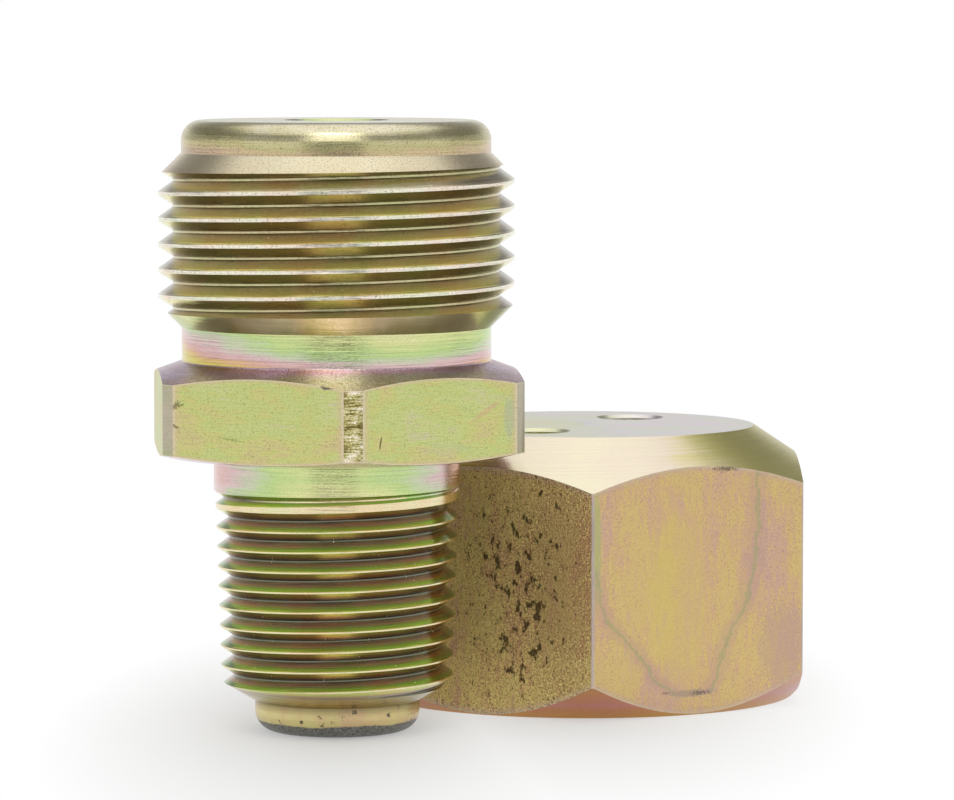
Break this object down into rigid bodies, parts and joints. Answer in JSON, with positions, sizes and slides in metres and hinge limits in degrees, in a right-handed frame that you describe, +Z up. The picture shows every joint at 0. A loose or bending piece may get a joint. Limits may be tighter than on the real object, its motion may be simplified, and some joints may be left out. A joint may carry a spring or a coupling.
{
  "type": "vent cap with check fitting",
  "caption": "Yellow-plated steel check fitting with hexagon, parallel nose thread and tapered pipe thread, and its vented hexagon screw cap standing beside it.",
  "frame": {"origin": "on the fitting's axis, at the surface that the fitting and the cap both stand on", "axes": "+Z up along the fitting's axis towards its nose, +X to the right with the cap on that side, +Y to the back"},
  "size_m": [0.0473, 0.0541, 0.0435],
  "materials": {
    "plated_steel": "yellow zinc plate, iridescent",
    "spring_steel": "drawn wire, dull",
    "bare_steel": "turned, bare"
  },
  "bodies": {
    "fitting": {"check_fitting": "plated_steel", "vented_cap": "plated_steel", "spring_retainer": "bare_steel", "valve_spring": "spring_steel"},
    "poppet": {"valve_poppet": "bare_steel"}
  },
  "joints": [
    {"name": "poppet_lift", "type": "slide", "parent": "fitting", "child": "poppet", "axis": [0, 0, -1], "range_m": [0, 0.002], "stiffness_N_per_m": 250, "springref_m": -0.001, "deforming": ["valve_spring"]}
  ]
}
